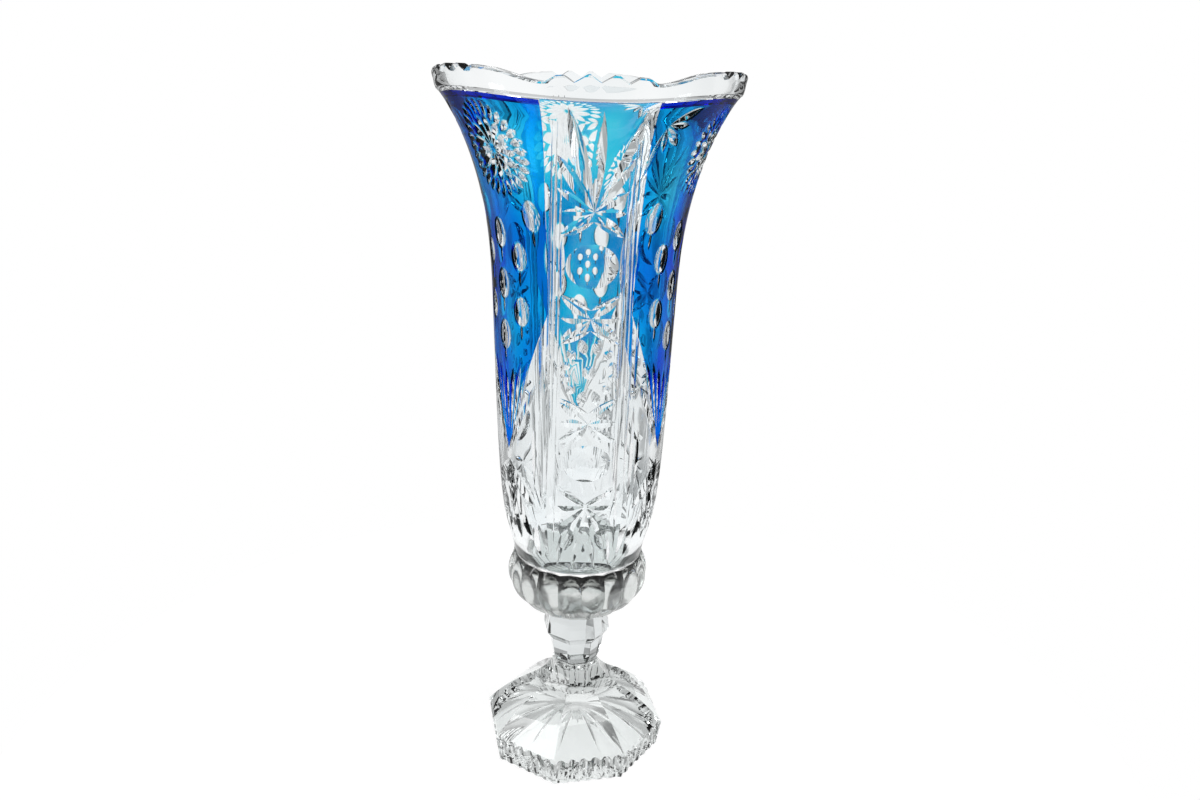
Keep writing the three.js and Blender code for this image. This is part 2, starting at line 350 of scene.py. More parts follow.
def wedge(angle, low_z, high_z, half_width, inner, outer, tilt):
    """A V notch across the rim wall, running outwards."""
    turn = math.radians(angle)
    out = np.array([math.sin(turn), -math.cos(turn), 0])
    side = np.array([math.cos(turn), math.sin(turn), 0])
    up = np.array([0, 0, 1])
    points = []
    for radius, drop in ((inner, -tilt), (outer, tilt)):
        points.append(out * radius + up * (low_z - drop))
        points.append(out * radius + side * half_width + up * high_z)
        points.append(out * radius - side * half_width + up * high_z)
    faces = [(2, 1, 0), (3, 4, 5), (1, 4, 3, 0), (2, 5, 4, 1), (0, 3, 5, 2)]
    return np.array(points), faces


def shell(middle, outer, inner, margin):
    """The outline of a casing as a closed solid between two distances off the bowl's surface.
    The inner side drifts in and out, and margin grows the outline."""
    columns, rows = 48, 56
    grow = math.degrees(margin / BODY_RADIUS)
    points = []
    for column in range(columns + 1):
        share = 2 * column / columns - 1
        top = CASING_TOP - LEDGE_RISE + margin
        bottom = POINT_Z + (SHOULDER_Z - POINT_Z) * abs(share) - 2 * margin
        below_band = np.linspace(bottom, top - BAND_START - margin, rows - 1)
        for z in [*below_band, top - BAND_FULL - margin, top]:
            half = CASING_HALF + CASING_SPREAD * smoothstep(z, SPREAD_Z, LEDGE_Z) + grow
            deep = UNEVEN * math.sin(z / 14 + 2 * share) * math.cos(3.1 * share - z / 37)
            deep -= THINNING * smoothstep(z, *THINNING_Z)
            if z > below_band[-1]:
                deep = TOP_BAND
            for height in (outer, inner - deep):
                points.append(on_body(middle + share * half, z, height))

    def at(column, row, side):
        return 2 * (column * (rows + 1) + row) + side

    faces, slots = [], []

    def quad(slot, *corners):
        faces.append(corners)
        slots.append(slot)

    for c in range(columns):
        for r in range(rows):
            quad(GLASS, at(c, r, 0), at(c + 1, r, 0), at(c + 1, r + 1, 0), at(c, r + 1, 0))
            quad(FUSED, at(c, r + 1, 1), at(c + 1, r + 1, 1), at(c + 1, r, 1), at(c, r, 1))
        quad(FUSED, at(c, 0, 1), at(c + 1, 0, 1), at(c + 1, 0, 0), at(c, 0, 0))
        quad(FUSED, at(c, rows, 0), at(c + 1, rows, 0), at(c + 1, rows, 1), at(c, rows, 1))
    for r in range(rows):
        quad(FUSED, at(0, r, 1), at(0, r, 0), at(0, r + 1, 0), at(0, r + 1, 1))
        quad(FUSED, at(columns, r, 0), at(columns, r, 1), at(columns, r + 1, 1), at(columns, r + 1, 0))
    return np.array(points), faces, slots


def carve(piece, cutters, slot=GLASS):
    """Takes every cutter out of a piece. Cutters that overlap go into different passes."""
    passes = []
    for points, faces, *_ in cutters:
        low, high = points.min(0), points.max(0)
        for group in passes:
            if not any(np.all(low < h) and np.all(high > l) for l, h in group["boxes"]):
                break
        else:
            group = {"boxes": [], "points": [], "faces": [], "slots": []}
            passes.append(group)
        start = sum(len(p) for p in group["points"])
        group["boxes"].append((low, high))
        group["points"].append(points)
        group["faces"].extend(tuple(start + i for i in face) for face in faces)
        group["slots"].extend([slot] * len(faces))
    for group in passes:
        tool = mesh_object("tool", np.concatenate(group["points"]), group["faces"], group["slots"])
        cut = piece.modifiers.new("cut", "BOOLEAN")
        cut.operation = "DIFFERENCE"
        cut.solver = "MANIFOLD"
        cut.object = tool
        graph = bpy.context.evaluated_depsgraph_get()
        result = bpy.data.meshes.new_from_object(piece.evaluated_get(graph))
        piece.modifiers.clear()
        used = piece.data
        piece.data = result
        bpy.data.meshes.remove(used)
        tool_mesh = tool.data
        bpy.data.objects.remove(tool)
        bpy.data.meshes.remove(tool_mesh)


# ---- the pattern ----


def hexagon(place, middle_z):
    """Outline of a hexagon medallion: two upright sides and four slanting ones."""
    half, shoulder, apex = 13.5, 12.7, 19.6
    right = [(0, apex), (half, shoulder), (half, -shoulder)]
    corners = [*right, *[(-across, -up) for across, up in right]]
    cutters = []
    for a, b in zip(corners, corners[1:] + corners[:1]):
        start, end = (a[0], middle_z + a[1]), (b[0], middle_z + b[1])
        cutters.append(mitre(place, start, end, 1.3, 1.5))
    return cutters


def button_star(place, middle_z):
    """A round button in a shallow round ring, with points of a star outside them."""
    centre = (0, middle_z)
    ring = hollow(place, centre, 7.8, 7.8, 0.55, sides=40)
    button = hollow(place, centre, 3.7, 3.7, 1.9, sides=24)
    cutters = [ring, button]
    points = 12
    for i in range(points):
        turn = 2 * math.pi * (i + 0.5) / points
        out = np.array([math.sin(turn), math.cos(turn)])
        reach = 13.2 + 3.6 * abs(out[1]) ** 3
        cutters.append(mitre(place, out * 8.8 + centre, out * reach + centre, 2.1, 1.4))
    return cutters


def bow_tie(place, z):
    """Leaves that fill the gap between two hexagons."""
    ends = [(s * 13.3, z + up, wide) for s in (-1, 1) for up, wide in ((10, 2.0), (0, 2.2), (-10, 2.2))]
    ends += [(-6.5, z - 9.5, 1.5), (6.5, z - 9.5, 1.5)]
    return star(place, (0, z), ends, 2.0)


def clear_panel_cuts(middle):
    place = panel(middle)
    cutters = star(
        place,
        (0, 291),
        [
            (-13, 334, 3.1), (1.5, 333, 2.8), (18, 315, 2.3), (15, 300, 2.0),
            (-17, 315, 2.6), (-16.5, 301, 1.8), (-14, 291, 1.6), (14, 290.5, 2.0),
            (-15, 281, 1.7), (-9, 281, 1.3), (13.5, 281, 1.9), (6, 283, 1.3),
        ],
        2.0,
    )
    cutters.append(mitre(place, (0, 291), (20.5, 334), 3.3, 1.2))
    cutters += hexagon(place, 267.4)
    cutters.append(hollow(place, (0, 267.4), 11.8, 9.8, 2.9, sides=48, rings=10))
    cutters += bow_tie(place, 243.7)
    cutters += hexagon(place, 219)
    cutters += button_star(place, 219)
    cutters += bow_tie(place, 194.3)
    cutters += hexagon(place, 173.3)
    cutters.append(hollow(place, (0, 174.6), 11.4, 9.2, 2.4, sides=48, rings=10))
    cutters += star(
        place,
        (0, 152.5),
        [
            (-13.3, 162.5, 2.0), (13.3, 162.5, 2.0), (-13.3, 152, 2.0), (13.3, 152, 2.0), (-13, 141.5, 2.3),
            (13, 141.5, 2.3), (-9.5, 127.5, 2.2), (9.5, 127.5, 2.2), (0, 126, 2.6),
        ],
        2.0,
        slope=0.4,
        skew=0.15,
    )
    for side in (-1, 1):
        for inner, high, outer, low, wide in ((3.2, 135, 5.4, 118, 1.3), (10.6, 138, 12.6, 119, 1.4)):
            start, end = (side * inner, high), (side * outer, low)
            cutters.append(mitre(place, start, end, wide, 0.5 * wide))
        for across, high, low, wide in (
            (14.6, 330, 200, 0.5),
            (16.9, 331, 180, 0.95),
            (19.0, 332, 150, 0.95),
            (14.8, 200, 128, 0.5),
        ):
            start, end = (side * across, high), (side * across, low)
            cutters.append(mitre(place, start, end, wide, 0.9 * wide, steps=24))
    return cutters


def sunburst(place, centre, radius):
    """Long leaves from a centre with a fringe of short pointed cuts round them."""
    cutters = []
    centre = np.array(centre, float)
    leaves = 13
    for i in range(leaves):
        turn = 2 * math.pi * (i + 0.35) / leaves
        out = radius * np.array([math.sin(turn), 0.95 * math.cos(turn)])
        cutters.append(mitre(place, centre, centre + 0.72 * out, 2.7, 1.05, 0.15))
    fringe = 28
    for i in range(fringe):
        turn = 2 * math.pi * i / fringe
        out = radius * np.array([math.sin(turn), 0.95 * math.cos(turn)])
        cutters.append(mitre(place, centre + 0.6 * out, centre + 1.02 * out, 1.95, 0.85, 0.12))
    return cutters


def olive(place, centre, half_width, half_height, depth):
    across, z = centre
    tail = mitre(place, (across, z - half_height + 2.5), (across, z - half_height - 6), 0.75, 1.3)
    return [hollow(place, centre, half_width, half_height, depth, point=1.15), tail]


def blue_panel_cuts(middle):
    place = panel(middle)
    cutters = sunburst(place, (across_at(9, 314), 314), 19.5)
    half_star = (across_at(-32, 326), 326)
    rays = ((17, 68, 1.7), (12.5, 92, 1.3), (14, 128, 1.5), (12, 157, 1.3), (20, 181, 1.2))
    for reach, turn, wide in rays:
        lean = math.radians(turn)
        end = (half_star[0] + reach * math.sin(lean), half_star[1] + reach * math.cos(lean))
        cutters.append(mitre(place, half_star, end, 1.4 * wide, 0.75 * wide, 0.1))
    for angle, z in OLIVES:
        cutters += olive(place, (across_at(angle, z), z), 4.9, 7.6, 1.9)
    fan = ((0, 215, 1.5), (8, 217, 1.6), (15, 221, 1.6), (21.5, 222, 1.5), (27, 212, 1.2))
    for tip_angle, tip_z, wide in fan:
        for side in (-1, 1) if tip_angle else (1,):
            tip = (side * across_at(tip_angle, tip_z), tip_z)
            cutters.append(mitre(place, (tip[0] * 0.1, POINT_FAN_Z), tip, 1.2 * wide, 0.95, 0.3))
    for side in (-1, 1):
        for angle, high, low, wide, depth in (
            (30, 249, 205, 1.0, 0.8),
            (33.8, 278, 262, 1.2, 0.8),
            (34, 232, 170, 1.2, 0.7),
            (29.5, 203, 150, 1.3, 0.8),
            (24.5, 192, 160, 1.1, 0.7),
        ):
            start = (side * across_at(angle, high), high)
            end = (side * across_at(angle, low), low)
            cutters.append(mitre(place, start, end, wide, depth, steps=14))
        for angle, high, low, wide in ((33, 160, 123, 2.6), (25, 141, 121, 2.2)):
            start = (side * across_at(angle, high), high)
            end = (side * across_at(angle, low), low)
            cutters.append(mitre(place, start, end, wide, 0.9, 0.2))
    cutters += star(
        place,
        (0, 170),
        [
            (-17, 148, 2.8), (17, 148, 2.8), (-13, 130, 3.0), (13, 130, 3.0),
            (-4.8, 128, 2.6), (4.8, 128, 2.6),
        ],
        2.8,
        slope=0.42,
        skew=0.15,
    )
    return cutters


# ---- pieces ----


def rim_line(angles):
    """The rim's outline without its notches: lobes over the panels and a slope between them."""
    off = np.abs((angles + 60) % 120 - 60)
    clear = CLEAR_LOBE_Z - LOBE_CROWN * (off / GROUP) ** 2
    blue = HEIGHT - 0.2 - LOBE_CROWN * ((60 - off) / GROUP) ** 2
    between = LOW_LOBE_Z + (HIGH_LOBE_Z - LOW_LOBE_Z) * smoothstep(off, GROUP, 60 - GROUP)
    return np.where(off < GROUP - 0.5, clear, np.where(off > 60 - GROUP + 0.5, blue, between))


def rim_notches():
    cutters = []
    for sixth in range(6):
        middle = 60 * sixth
        lobe = HEIGHT if sixth % 2 else CLEAR_LOBE_Z
        for step in (-4, -2, 0, 2, 4):
            low = lobe - TOOTH - 0.15 * abs(step) / 2
            if abs(step) == 4:
                low = HIGH_LOBE_Z - 0.3 if sixth % 2 else LOW_LOBE_Z - 0.2
            rise = lobe + 2 - low
            angle = middle + step * HALF_TOOTH
            cutters.append(wedge(angle, low, low + rise, rise * NOTCH_SLOPE, 60, 78, 0.5))
    return cutters


def bowl_rows(angles):
    """The bowl's outline at each angle, and the slot of the strip above each row."""
    rows = [(0, BOWL_BOTTOM)]
    slots = [FUSED]
    for radius in (10, 18, SEAT_RADIUS):
        rows.append((radius, BOWL_BOTTOM))
        slots.append(FUSED)
    for out, up in ((-0.6, -0.8), (-0.1, -0.3), (0, 0.3), (0.35, 2), (0.85, 4)):
        rows.append((NECK_RADIUS + out, NECK_Z + up))
    for z in np.arange(TUCK_Z, LEDGE_Z - 3, 2.4):
        rows.append((body_radius(z), z + lift(angles, z)))
    for z in (LEDGE_Z - 2.6, LEDGE_Z - 1.6, LEDGE_Z - 0.8, LEDGE_Z):
        rows.append((body_radius(z), z + lift(angles, z)))
    ledge = LEDGE_Z + lift(angles, LEDGE_Z)
    top = rim_line(angles)
    edge = body_radius(LEDGE_Z)
    rows += [(edge + 0.55, ledge + 0.35), (edge + 0.85, ledge + 1.0)]
    for share, bulge in ((0.25, 0.1), (0.5, 0.0), (0.75, -0.1)):
        z = ledge + 1 + (top - ledge - 2.2) * share
        rows.append((edge + 0.85 + (RIM_RADIUS - edge - 0.85) * share + bulge, z))
    outer, inner = RIM_RADIUS, RIM_RADIUS - RIM_WALL
    rows += [(outer, top - 1.2), (outer - 0.3, top - 0.45), (outer - 1, top), (inner + 0.8, top)]
    rows += [(inner + 0.2, top - 0.4), (inner, top - 1.1)]
    for share in (0.3, 0.65):
        z = top - 1.1 + (ledge - top + 1.1) * share
        rows.append((inner + (edge - COVE - LEDGE_WALL - inner) * share, z))
    for z in [LEDGE_Z, *np.arange(LEDGE_Z - 4, CAVITY_SHOULDER_Z, -4)]:
        wall = WALL + (LEDGE_WALL - WALL) * smoothstep(z, LEDGE_Z - 14, LEDGE_Z)
        cove = COVE * math.exp((z - LEDGE_Z) / COVE_LENGTH)
        rows.append((body_radius(z) - cove - wall, z + lift(angles, z)))
    shoulder = (body_radius(CAVITY_SHOULDER_Z) - WALL, CAVITY_SHOULDER_Z)
    bottom = smooth_line([*CAVITY, shoulder], 4)[::-1]
    rows += [(radius, z) for radius, z in bottom]
    slots += [FUSED]
    slots += [GLASS] * (len(rows) - len(slots) - 1)
    slots[4] = FUSED
    return rows, slots


def bowl():
    angles = np.arange(SEGMENTS) * 360 / SEGMENTS
    rows, slots = bowl_rows(angles)
    piece = lathe("cut_crystal_bowl", rows, angles, slots)
    recesses = [shell(middle, OVERSHOOT, -CASING - FUSED_GAP, FUSED_GAP) for middle in CASINGS.values()]
    carve(piece, recesses, FUSED)
    cutters = rim_notches() + seat_star()
    for middle in CLEAR_PANELS:
        cutters += clear_panel_cuts(middle)
    for middle in CASINGS.values():
        cutters += blue_panel_cuts(middle)
    carve(piece, cutters)
    finish_surface(piece, 24)
    return piece


def casing(side):
    middle = CASINGS[side]
    points, faces, slots = shell(middle, 0, -CASING, 0)
    piece = mesh_object(f"blue_overlay_{side}", points, faces, slots)
    carve(piece, blue_panel_cuts(middle))
    finish_surface(piece, 24)
    return piece


def cup():
    """A squat spheroid with oval petals, hollowed on top for the bowl's seat."""
    angles = np.arange(CUP_FLUTES * 12) * 360 / (CUP_FLUTES * 12)
    rows = [(0, CUP_BOTTOM), (8, CUP_BOTTOM), (CUP_FLOOR_RADIUS, CUP_BOTTOM)]
    slots = [FUSED, FUSED]
    petal = np.abs(np.sin(np.radians(CUP_FLUTES * angles / 2)))
    count = 22
    for i in range(1, count):
        z = CUP_BOTTOM + (CUP_LIP - CUP_BOTTOM) * (1 - math.cos(math.pi * i / count)) / 2
        round_share = math.sqrt(1 - ((z - CUP_MIDDLE_Z) / CUP_HALF_HEIGHT) ** 2)
        radius = max(CUP_RADIUS * round_share, CUP_FLOOR_RADIUS)
        share = (z - CUP_BOTTOM) / (CUP_LIP - CUP_BOTTOM)
        depth = PETAL_DEPTH * (1 - (2 * share - 1) ** 4)
        rows.append((radius - depth * (1 - petal), z))
    rows += [(CUP_LIP_RADIUS, CUP_LIP), (NECK_RADIUS - 0.2, CUP_LIP)]
    seat = BOWL_BOTTOM - SEAT_GAP
    rows += [(SEAT_RADIUS + 0.2, seat), (12, seat), (0, seat)]
    slots += [GLASS] * (len(rows) - len(slots) - 4)
    slots += [FUSED] * 3
    piece = lathe("petal_cup", rows, angles, slots)
    finish_surface(piece, 30)
    return piece


def ring_solid(name, outline, angles, low_slots, high_slots):
    """A solid with one side for each angle, closed by a flat face at each end."""
    rows = [(0, outline[0][1]), *outline, (0, outline[-1][1])]
    slots = [low_slots, *[GLASS] * (len(outline) - 1), high_slots]
    return lathe(name, rows, angles, slots)


def corner_angles():
    return FOOT_TURN + 180 / SIDES + np.arange(SIDES) * 360 / SIDES


def bevelled(piece, width, sharp):
    """Rounds the edges over an angle, as polishing does."""
    bevel = piece.modifiers.new("polish", "BEVEL")
    bevel.width = width * MM
    bevel.segments = 2
    bevel.limit_method = "ANGLE"
    bevel.angle_limit = math.radians(sharp)
    graph = bpy.context.evaluated_depsgraph_get()
    result = bpy.data.meshes.new_from_object(piece.evaluated_get(graph))
    piece.modifiers.clear()
    used = piece.data
    piece.data = result
    bpy.data.meshes.remove(used)


def stem():
    piece = ring_solid("faceted_stem", STEM_OUTLINE, corner_angles(), FUSED, FUSED)
    bevelled(piece, 0.2, 12)
    finish_surface(piece, 10)
    return piece


def foot_angles():
    """Corners of the foot with points between them, so that its sides can be cut."""
    per_side = 12
    return per_side, np.arange(SIDES * per_side) * 360 / (SIDES * per_side) + FOOT_TURN + 180 / SIDES


def hollow_z(share):
    """Height of the hollow under the foot at a share of its radius."""
    return FOOT_HOLLOW * (1 - share**1.6)


def foot():
    per_side, angles = foot_angles()
    middle = (angles - FOOT_TURN + 180 / SIDES) % (360 / SIDES) - 180 / SIDES
    octagon = math.cos(math.pi / SIDES) / np.cos(np.radians(middle))
    rows = [(0, FOOT_HOLLOW)]
    for share in np.arange(1, 12) / 12:
        rows.append((FOOT_HOLLOW_RADIUS * share, hollow_z(share)))
    rows += [(FOOT_HOLLOW_RADIUS, 0.0), (FOOT_RADIUS * octagon - 0.4, 0.0), (FOOT_RADIUS * octagon, 0.4)]
    for share in (0.25, 0.5, 0.75):
        corner = FOOT_RADIUS + (FOOT_EDGE_RADIUS - FOOT_RADIUS) * share
        rows.append((corner * octagon, FOOT_SIDE_Z * share))
    for radius, z in smooth_line(FOOT_OUTLINE, 4):
        rows.append((radius * octagon, z))
    rows.append((0, FOOT_TOP))
    slots = [GLASS] * (len(rows) - 2) + [FUSED]
    piece = lathe("eight_sided_foot", rows, angles, slots)
    carve(piece, foot_flutes() + foot_star())
    finish_surface(piece, 22)
    return piece


def foot_flutes():
    """Upright flutes round the side of the foot."""
    lean = math.atan((FOOT_EDGE_RADIUS - FOOT_RADIUS) * math.cos(math.pi / SIDES) / FOOT_SIDE_Z)
    pitch = 2 * FOOT_RADIUS * math.sin(math.pi / SIDES) / FOOT_FLUTES
    radius = pitch * 0.52
    apothem = FOOT_RADIUS * math.cos(math.pi / SIDES)
    cutters = []
    sides = 16
    for side in range(SIDES):
        turn = Matrix.Rotation(math.radians(FOOT_TURN + 360 / SIDES * side), 4, "Z")
        for flute in range(FOOT_FLUTES):
            across = (flute + 0.5 - FOOT_FLUTES / 2) * pitch
            middle = Matrix.Translation((across, -apothem - radius + FOOT_FLUTE_DEPTH, 0))
            place = turn @ middle @ Matrix.Rotation(lean, 4, "X")
            points = []
            for z in (-4, 26):
                for i in range(sides):
                    around = 2 * math.pi * i / sides
                    point = Vector((radius * math.cos(around), radius * math.sin(around), z))
                    points.append(place @ point)
            faces = [tuple(range(sides))[::-1], tuple(range(sides, 2 * sides))]
            for i in range(sides):
                j = (i + 1) % sides
                faces.append((i, j, sides + j, sides + i))
            cutters.append((np.array(points), faces))
    return cutters


def under_star(level, rays, inner, outer, half_width, depth):
    """A star of mitres cut from below into a surface whose height is level(radius)."""

    def place(across, along, height):
        return (across, along, level(math.hypot(across, along)) - height)

    cutters = []
    for i in range(rays):
        turn = 2 * math.pi * i / rays
        out = np.array([math.sin(turn), math.cos(turn)])
        points, faces = mitre(place, out * inner, out * outer, half_width, depth, 0.2)
        cutters.append((points, [face[::-1] for face in faces]))
    return cutters


def foot_star():
    """The star in the hollow under the foot."""

    def level(radius):
        return hollow_z(min(radius / FOOT_HOLLOW_RADIUS, 1))

    return under_star(level, rays=16, inner=4, outer=34, half_width=1.5, depth=0.3)


def seat_star():
    """The star under the bowl, seen through the cavity's floor."""

    def level(radius):
        return BOWL_BOTTOM

    return under_star(level, rays=24, inner=1.5, outer=23.5, half_width=1.7, depth=1.5)


def film(name, radius, node, sides, turn):
    """A bonding film: clear at its rim, nothing to see on its two faces."""
    low, high = heights(node)
    angles = np.arange(sides) * 360 / sides + turn
    edge = 0.05
    outline = [(radius - edge, low), (radius, low + edge), (radius, high - edge), (radius - edge, high)]
    piece = ring_solid(name, outline, angles, FUSED, FUSED)
    finish_surface(piece, 30)
    return piece


# ---- materials ----

CRYSTAL_IOR = 1.54
WEAR = 0.03  # roughness added where the polish is worn


def node_material(name):
    material = bpy.data.materials.new(name)
    material.use_nodes = True
    nodes = material.node_tree.nodes
    nodes.clear()
    return material, nodes, material.node_tree.links


def glass(name, pale, deep, ripple, shine=(1, 1, 1), haze=0.0):
    """Polished glass: a faint drift of tint, a slight ripple and a trace of wear in its polish. shine tints
    its reflections, and haze is the roughness of its polish."""
    material, nodes, links = node_material(name)
    output = nodes.new("ShaderNodeOutputMaterial")
    shader = nodes.new("ShaderNodeBsdfPrincipled")
    shader.inputs["IOR"].default_value = CRYSTAL_IOR
    shader.inputs["Transmission Weight"].default_value = 1.0
    shader.inputs["Specular Tint"].default_value = (*shine, 1)
    where = nodes.new("ShaderNodeTexCoord")
    drift = nodes.new("ShaderNodeTexNoise")
    drift.inputs["Scale"].default_value = 30
    tint = nodes.new("ShaderNodeValToRGB")
    tint.color_ramp.elements[0].position = 0.35
    tint.color_ramp.elements[0].color = (*deep, 1)
    tint.color_ramp.elements[1].position = 0.65
    tint.color_ramp.elements[1].color = (*pale, 1)
    wear = nodes.new("ShaderNodeTexNoise")
    wear.inputs["Scale"].default_value = 240
    wear.inputs["Detail"].default_value = 4
    polish = nodes.new("ShaderNodeMapRange")
    polish.inputs["From Min"].default_value = 0.55
    polish.inputs["From Max"].default_value = 0.8
    polish.inputs["To Min"].default_value = haze
    polish.inputs["To Max"].default_value = haze + WEAR
    bump = nodes.new("ShaderNodeBump")
    bump.inputs["Strength"].default_value = ripple
    bump.inputs["Distance"].default_value = 0.001
    waves = nodes.new("ShaderNodeTexNoise")
    waves.inputs["Scale"].default_value = 90
    waves.inputs["Detail"].default_value = 1
    for texture in (drift, wear, waves):
        links.new(where.outputs["Object"], texture.inputs["Vector"])
    links.new(drift.outputs["Fac"], tint.inputs["Fac"])
    links.new(tint.outputs["Color"], shader.inputs["Base Color"])
    links.new(wear.outputs["Fac"], polish.inputs["Value"])
    links.new(polish.outputs["Result"], shader.inputs["Roughness"])
    links.new(waves.outputs["Fac"], bump.inputs["Height"])
    links.new(bump.outputs["Normal"], shader.inputs["Normal"])
    links.new(shader.outputs["BSDF"], output.inputs["Surface"])
    return material


def painted_shade_by_height(material, low, high):
    """Paints shade by height: makes the tint run from deep at one height to pale at another, given in
    millimetres.
    """
    nodes, links = material.node_tree.nodes, material.node_tree.links
    where = nodes.new("ShaderNodeTexCoord")
    parts = nodes.new("ShaderNodeSeparateXYZ")
    scale = nodes.new("ShaderNodeMapRange")
    scale.inputs["From Min"].default_value = low * MM
    scale.inputs["From Max"].default_value = high * MM
    tint = next(node for node in nodes if node.type == "VALTORGB")
    links.new(where.outputs["Object"], parts.inputs["Vector"])
    links.new(parts.outputs["Z"], scale.inputs["Value"])
    links.new(scale.outputs["Result"], tint.inputs["Fac"])
    return material


def stained(material, colour, density):
    """Adds an absorption that deepens with the glass's thickness."""
    nodes = material.node_tree.nodes
    volume = nodes.new("ShaderNodeVolumeAbsorption")
    volume.inputs["Color"].default_value = (*colour, 1)
    volume.inputs["Density"].default_value = density
    output = next(node for node in nodes if node.type == "OUTPUT_MATERIAL")
    material.node_tree.links.new(volume.outputs["Volume"], output.inputs["Volume"])
    return material


def interface():
    """Where two pieces are fused or bonded there is no boundary to see."""
    material, nodes, links = node_material("fused_interface")
    output = nodes.new("ShaderNodeOutputMaterial")
    clear = nodes.new("ShaderNodeBsdfTransparent")
    links.new(clear.outputs["BSDF"], output.inputs["Surface"])
    return material


def floor_material():
    material, nodes, links = node_material("pale_floor")
    output = nodes.new("ShaderNodeOutputMaterial")
    shader = nodes.new("ShaderNodeBsdfPrincipled")
    shader.inputs["Roughness"].default_value = 0.8
    shader.inputs["Specular IOR Level"].default_value = 0.1
    shader.inputs["Base Color"].default_value = (0.3, 0.3, 0.3, 1)
    shader.inputs["Emission Color"].default_value = (1, 1, 1, 1)
    shader.inputs["Emission Strength"].default_value = 0.86
    links.new(shader.outputs["BSDF"], output.inputs["Surface"])
    return material


# ---- assembly ----


def add_piece(piece, material, fused, node):
    piece.data.materials.clear()
    piece.data.materials.append(material)
    piece.data.materials.append(fused)
    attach(piece, "root")
    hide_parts(node)
    return piece


def build_vase():
    fused = interface()
    clear = glass("clear_crystal", (0.96, 0.98, 0.985), (0.89, 0.92, 0.93), 0.06, (0.4, 0.45, 0.45))
    # Painted shade: the cup's glass is tinted a deep grey up to 96 mm, fading to pale by 112 mm, to paint
    # the shade on its lower part.
    cup_glass = glass("cup_glass", (0.97, 0.98, 0.975), (0.7, 0.725, 0.71), 0.08, haze=0.11)
    painted_shade_by_height(cup_glass, 96, 112)
    # Painted shade: the stem is the same crystal as the bowl, tinted grey throughout to paint the shade on
    # its facets; the drift between the two greys is random tone.
    stem_glass = glass("stem_glass", (0.78, 0.805, 0.81), (0.67, 0.7, 0.705), 0.03)
    # Painted shade: the foot's glass is tinted dark grey at 46 mm, under the stem, fading to a pale grey by
    # 26 mm.
    foot_glass = glass("foot_glass", (0.84, 0.87, 0.865), (0.4, 0.42, 0.415), 0.06)
    painted_shade_by_height(foot_glass, 46, 26)
    bond = glass("bond_glass", (0.97, 0.975, 0.96), (0.94, 0.95, 0.93), 0.05)
    blue = glass("cobalt_overlay", (0.95, 0.98, 1.0), (0.9, 0.96, 1.0), 0.08, (0.05, 0.3, 0.6))
    stained(blue, (0.0, 0.845, 0.98), 12800)
    # Painted light and shade: the back casing is the same blue glass as the other two; this greener copy
    # with denser absorption paints how the back looks through the bowl.
    back_blue_shaded = glass("cobalt_overlay_back", (0.95, 0.98, 1.0), (0.9, 0.96, 1.0), 0.08, (0.05, 0.3, 0.6))
    stained(back_blue_shaded, (0.0, 0.875, 0.955), 15500)
    add_piece(bowl(), clear, fused, "bowl")
    for side in CASINGS:
        overlay = back_blue_shaded if side == "back" else blue
        add_piece(casing(side), overlay, fused, f"blue_casing_{side}")
    add_piece(cup(), cup_glass, fused, "fluted_cup")
    add_piece(stem(), stem_glass, fused, "stem")
    add_piece(foot(), foot_glass, fused, "foot")
    corners = FOOT_TURN + 180 / SIDES
    for name, radius, node, sides, turn in (
        ("bowl_joint_film", 24, "bowl_bond", 48, 0),
        ("stem_joint_film", 15, "stem_bond", SIDES, corners),
        ("foot_joint_film", 11, "foot_bond", SIDES, corners),
    ):
        add_piece(film(name, radius, node, sides, turn), bond, fused, node)


# ---- studio ----

CAMERA_DISTANCE = 0.4763  # from the vase's axis
CAMERA_HEIGHT = 0.341
CAMERA_AZIMUTH = -4.0
CAMERA_PITCH = 17.25  # downwards
CAMERA_YAW = 1.09
CAMERA_ROLL = 1.78
LENS = 30.0
FLOOR_RADIUS = 300
PANELS_ROUND = 6  # upright soft panels of the studio
PANEL_LEVELS = [(0.0, 0.45), (0.15, 0.55), (0.35, 0.95), (1.0, 1.0)]  # from a panel's edge to its middle
CEILING_LEVELS = [(0.0, 0.9), (0.5, 1.0), (0.64, 1.0), (0.72, 0.6), (0.82, 0.6), (0.9, 1.0)]  # upwards
MIRRORED_LEVEL = 0.3  # the studio's brightness in reflections, against 1 through the glass
BOUNCES = 36  # a ray can cross every wall of the vase and its cuts


def add_camera():
    pitch, yaw, roll = (math.radians(a) for a in (CAMERA_PITCH, CAMERA_YAW, CAMERA_ROLL))
    ahead = Vector((math.sin(yaw) * math.cos(pitch), math.cos(yaw) * math.cos(pitch), -math.sin(pitch)))
    right = Vector((math.cos(yaw), -math.sin(yaw), 0))
    up = right.cross(ahead)
    right, up = right * math.cos(roll) + up * math.sin(roll), up * math.cos(roll) - right * math.sin(roll)
    axes = Matrix((right, up, -ahead)).transposed().to_4x4()
    turn = Matrix.Rotation(math.radians(CAMERA_AZIMUTH), 4, "Z")
    data = bpy.data.cameras.new("camera")
    data.lens = LENS
    data.clip_start = 0.02
    camera = bpy.data.objects.new("camera", data)
    bpy.context.scene.collection.objects.link(camera)
    camera.matrix_world = turn @ Matrix.Translation((0, -CAMERA_DISTANCE, CAMERA_HEIGHT)) @ axes
    bpy.context.scene.camera = camera


